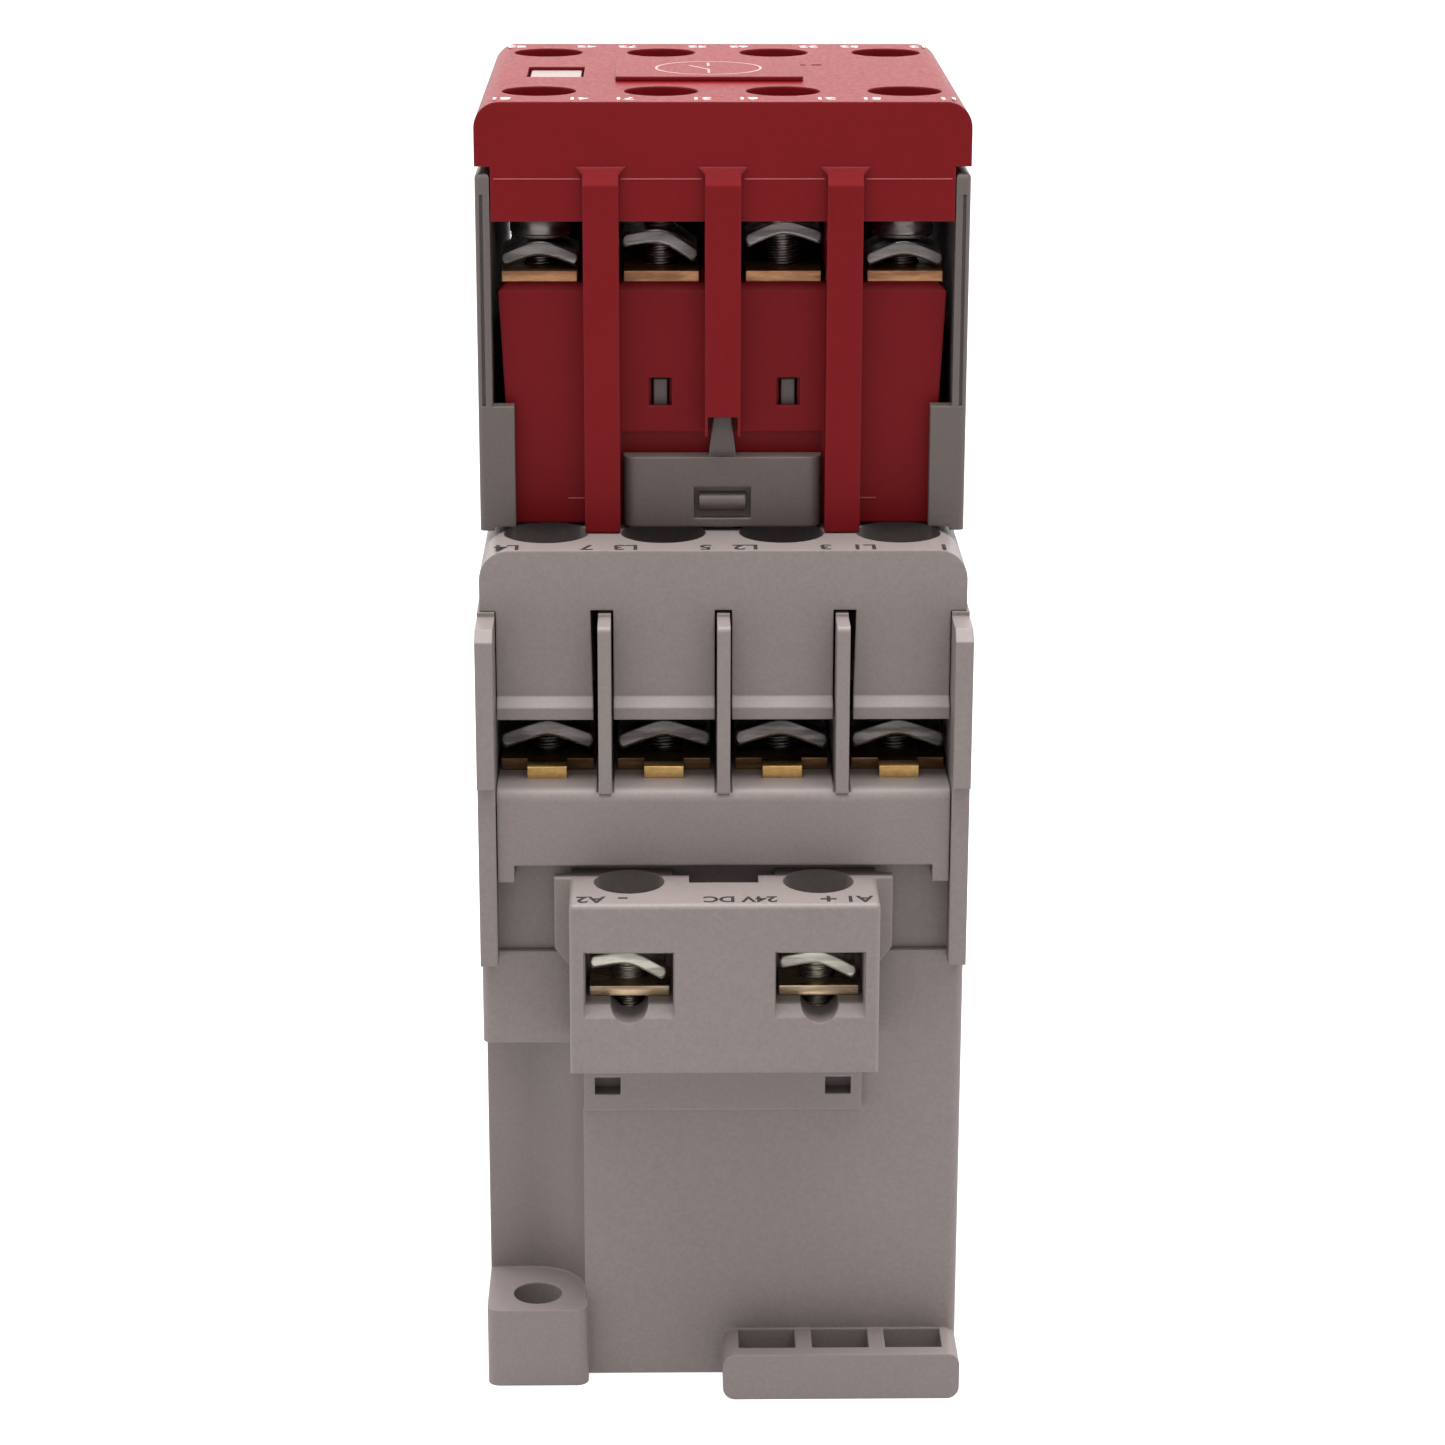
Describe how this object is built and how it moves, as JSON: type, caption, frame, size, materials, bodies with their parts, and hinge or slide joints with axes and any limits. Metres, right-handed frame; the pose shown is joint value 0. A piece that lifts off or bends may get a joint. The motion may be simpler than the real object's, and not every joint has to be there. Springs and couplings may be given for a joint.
{
  "type": "din rail contactor",
  "caption": "Grey DIN-rail contactor with main and coil screw terminals and a red auxiliary contact deck clipped on its front.",
  "frame": {"origin": "middle of the back (mounting) face, on the centre line of the 35 mm rail", "axes": "+Z out of the panel to the front of the device, +X to the right seen from the line side, +Y from the line side to the load side"},
  "size_m": [0.0444, 0.0772, 0.1199],
  "materials": {
    "grey_plastic": "moulded, fine matt grain",
    "dark_grey_plastic": "moulded, matt",
    "light_grey_plastic": "moulded, satin",
    "red_plastic": "moulded, fine matt grain",
    "black_plastic": "glass-filled, matt",
    "bobbin_plastic": "glass-filled nylon",
    "zinc_steel": "zinc plated, dull",
    "spring_steel": "drawn wire",
    "core_steel": "laminated electrical steel",
    "brass": "rolled, slightly tarnished",
    "silver": "contact silver",
    "copper_winding": "enamelled copper wire",
    "board_green": "solder mask",
    "black_rubber": "soft rubber"
  },
  "bodies": {
    "root": {"base_housing": "grey_plastic", "din_latch_springs": "spring_steel", "core_pads": "black_rubber", "fixed_core": "core_steel", "coil_bobbin": "bobbin_plastic", "coil_winding": "copper_winding", "return_springs": "spring_steel", "contact_housing": "grey_plastic", "contact_tray": "grey_plastic", "phase_barriers": "grey_plastic", "line_terminal_plates": "brass", "load_terminal_plates": "brass", "fixed_contact_tips": "silver", "front_cover": "grey_plastic", "coil_terminal_block": "grey_plastic", "coil_terminal_plates": "brass", "coil_board": "board_green", "deck_base": "grey_plastic", "deck_body": "red_plastic", "deck_cap": "red_plastic", "deck_ribs": "red_plastic", "deck_cover_plate": "red_plastic", "deck_release_spring": "spring_steel", "aux_line_plates": "brass", "aux_load_plates": "brass", "aux_fixed_tips": "silver"},
    "carrier": {"contact_carrier": "black_plastic", "armature": "core_steel", "armature_pin": "spring_steel", "main_contact_springs": "spring_steel"},
    "deck_carriage": {"deck_carriage": "black_plastic", "indicator_flag": "light_grey_plastic", "aux_contact_springs": "spring_steel"},
    "din_latch": {"din_latch": "dark_grey_plastic"},
    "deck_release": {"deck_release": "dark_grey_plastic"},
    "main_bridge_1": {"main_bridge_1": "brass"},
    "aux_bridge_1": {"aux_bridge_1": "brass"},
    "main_bridge_2": {"main_bridge_2": "brass"},
    "aux_bridge_2": {"aux_bridge_2": "brass"},
    "main_bridge_3": {"main_bridge_3": "brass"},
    "aux_bridge_3": {"aux_bridge_3": "brass"},
    "main_bridge_4": {"main_bridge_4": "brass"},
    "aux_bridge_4": {"aux_bridge_4": "brass"},
    "line_terminal_1": {"line_terminal_1": "zinc_steel"},
    "aux_line_terminal_1": {"aux_line_terminal_1": "zinc_steel"},
    "line_terminal_2": {"line_terminal_2": "zinc_steel"},
    "aux_line_terminal_2": {"aux_line_terminal_2": "zinc_steel"},
    "line_terminal_3": {"line_terminal_3": "zinc_steel"},
    "aux_line_terminal_3": {"aux_line_terminal_3": "zinc_steel"},
    "line_terminal_4": {"line_terminal_4": "zinc_steel"},
    "aux_line_terminal_4": {"aux_line_terminal_4": "zinc_steel"},
    "load_terminal_1": {"load_terminal_1": "zinc_steel"},
    "aux_load_terminal_1": {"aux_load_terminal_1": "zinc_steel"},
    "load_terminal_2": {"load_terminal_2": "zinc_steel"},
    "aux_load_terminal_2": {"aux_load_terminal_2": "zinc_steel"},
    "load_terminal_3": {"load_terminal_3": "zinc_steel"},
    "aux_load_terminal_3": {"aux_load_terminal_3": "zinc_steel"},
    "load_terminal_4": {"load_terminal_4": "zinc_steel"},
    "aux_load_terminal_4": {"aux_load_terminal_4": "zinc_steel"},
    "coil_terminal_1": {"coil_terminal_1": "zinc_steel"},
    "coil_terminal_2": {"coil_terminal_2": "zinc_steel"}
  },
  "joints": [
    {"name": "armature_stroke", "type": "slide", "parent": "root", "child": "carrier", "axis": [0, 0, -1], "range_m": [0, 0.00355], "stiffness_N_per_m": 700, "springref_m": -0.008, "deforming": ["return_springs"]},
    {"name": "deck_stroke", "type": "slide", "parent": "root", "child": "deck_carriage", "axis": [0, 0, -1], "range_m": [0, 0.00355]},
    {"name": "din_latch_slide", "type": "slide", "parent": "root", "child": "din_latch", "axis": [0, 1, 0], "range_m": [0, 0.003], "stiffness_N_per_m": 1500, "springref_m": -0.004, "deforming": ["din_latch_springs"]},
    {"name": "deck_release_lift", "type": "slide", "parent": "root", "child": "deck_release", "axis": [0, 0, 1], "range_m": [0, 0.002], "stiffness_N_per_m": 800, "springref_m": -0.003, "deforming": ["deck_release_spring"]},
    {"name": "main_bridge_1_float", "type": "slide", "parent": "carrier", "child": "main_bridge_1", "axis": [0, 0, 1], "range_m": [0, 0.0008], "stiffness_N_per_m": 400, "springref_m": -0.004, "deforming": ["main_contact_springs"]},
    {"name": "aux_bridge_1_float", "type": "slide", "parent": "deck_carriage", "child": "aux_bridge_1", "axis": [0, 0, 1], "range_m": [-0.0008, 0], "stiffness_N_per_m": 200, "springref_m": 0.004, "deforming": ["aux_contact_springs"]},
    {"name": "main_bridge_2_float", "type": "slide", "parent": "carrier", "child": "main_bridge_2", "axis": [0, 0, 1], "range_m": [0, 0.0008], "stiffness_N_per_m": 400, "springref_m": -0.004, "deforming": ["main_contact_springs"]},
    {"name": "aux_bridge_2_float", "type": "slide", "parent": "deck_carriage", "child": "aux_bridge_2", "axis": [0, 0, 1], "range_m": [-0.0008, 0], "stiffness_N_per_m": 200, "springref_m": 0.004, "deforming": ["aux_contact_springs"]},
    {"name": "main_bridge_3_float", "type": "slide", "parent": "carrier", "child": "main_bridge_3", "axis": [0, 0, 1], "range_m": [0, 0.0008], "stiffness_N_per_m": 400, "springref_m": -0.004, "deforming": ["main_contact_springs"]},
    {"name": "aux_bridge_3_float", "type": "slide", "parent": "deck_carriage", "child": "aux_bridge_3", "axis": [0, 0, 1], "range_m": [-0.0008, 0], "stiffness_N_per_m": 200, "springref_m": 0.004, "deforming": ["aux_contact_springs"]},
    {"name": "main_bridge_4_float", "type": "slide", "parent": "carrier", "child": "main_bridge_4", "axis": [0, 0, 1], "range_m": [0, 0.0008], "stiffness_N_per_m": 400, "springref_m": -0.004, "deforming": ["main_contact_springs"]},
    {"name": "aux_bridge_4_float", "type": "slide", "parent": "deck_carriage", "child": "aux_bridge_4", "axis": [0, 0, 1], "range_m": [-0.0008, 0], "stiffness_N_per_m": 200, "springref_m": 0.004, "deforming": ["aux_contact_springs"]},
    {"name": "line_terminal_1_screw", "type": "slide", "parent": "root", "child": "line_terminal_1", "axis": [0, 0, 1], "range_m": [-0.00075, 0.0019]},
    {"name": "aux_line_terminal_1_screw", "type": "slide", "parent": "root", "child": "aux_line_terminal_1", "axis": [0, 0, 1], "range_m": [-0.00005, 0.0022]},
    {"name": "line_terminal_2_screw", "type": "slide", "parent": "root", "child": "line_terminal_2", "axis": [0, 0, 1], "range_m": [-0.0006, 0.0019]},
    {"name": "aux_line_terminal_2_screw", "type": "slide", "parent": "root", "child": "aux_line_terminal_2", "axis": [0, 0, 1], "range_m": [-0.00035, 0.001]},
    {"name": "line_terminal_3_screw", "type": "slide", "parent": "root", "child": "line_terminal_3", "axis": [0, 0, 1], "range_m": [-0.0006, 0.0019]},
    {"name": "aux_line_terminal_3_screw", "type": "slide", "parent": "root", "child": "aux_line_terminal_3", "axis": [0, 0, 1], "range_m": [-0.00175, 0.0003]},
    {"name": "line_terminal_4_screw", "type": "slide", "parent": "root", "child": "line_terminal_4", "axis": [0, 0, 1], "range_m": [-0.00075, 0.0019]},
    {"name": "aux_line_terminal_4_screw", "type": "slide", "parent": "root", "child": "aux_line_terminal_4", "axis": [0, 0, 1], "range_m": [-0.00005, 0.0022]},
    {"name": "load_terminal_1_screw", "type": "slide", "parent": "root", "child": "load_terminal_1", "axis": [0, 0, 1], "range_m": [-0.00075, 0.0019]},
    {"name": "aux_load_terminal_1_screw", "type": "slide", "parent": "root", "child": "aux_load_terminal_1", "axis": [0, 0, 1], "range_m": [-0.00005, 0.0022]},
    {"name": "load_terminal_2_screw", "type": "slide", "parent": "root", "child": "load_terminal_2", "axis": [0, 0, 1], "range_m": [-0.0006, 0.0019]},
    {"name": "aux_load_terminal_2_screw", "type": "slide", "parent": "root", "child": "aux_load_terminal_2", "axis": [0, 0, 1], "range_m": [-0.00005, 0.0022]},
    {"name": "load_terminal_3_screw", "type": "slide", "parent": "root", "child": "load_terminal_3", "axis": [0, 0, 1], "range_m": [-0.0006, 0.0019]},
    {"name": "aux_load_terminal_3_screw", "type": "slide", "parent": "root", "child": "aux_load_terminal_3", "axis": [0, 0, 1], "range_m": [-0.00005, 0.0022]},
    {"name": "load_terminal_4_screw", "type": "slide", "parent": "root", "child": "load_terminal_4", "axis": [0, 0, 1], "range_m": [-0.00075, 0.0019]},
    {"name": "aux_load_terminal_4_screw", "type": "slide", "parent": "root", "child": "aux_load_terminal_4", "axis": [0, 0, 1], "range_m": [-0.00005, 0.0022]},
    {"name": "coil_terminal_1_screw", "type": "slide", "parent": "root", "child": "coil_terminal_1", "axis": [0, 0, 1], "range_m": [-0.0004, 0.0004]},
    {"name": "coil_terminal_2_screw", "type": "slide", "parent": "root", "child": "coil_terminal_2", "axis": [0, 0, 1], "range_m": [-0.0004, 0.0004]}
  ],
  "couplings": [
    {"joint": "deck_stroke", "follows": "armature_stroke", "ratio": 1}
  ]
}
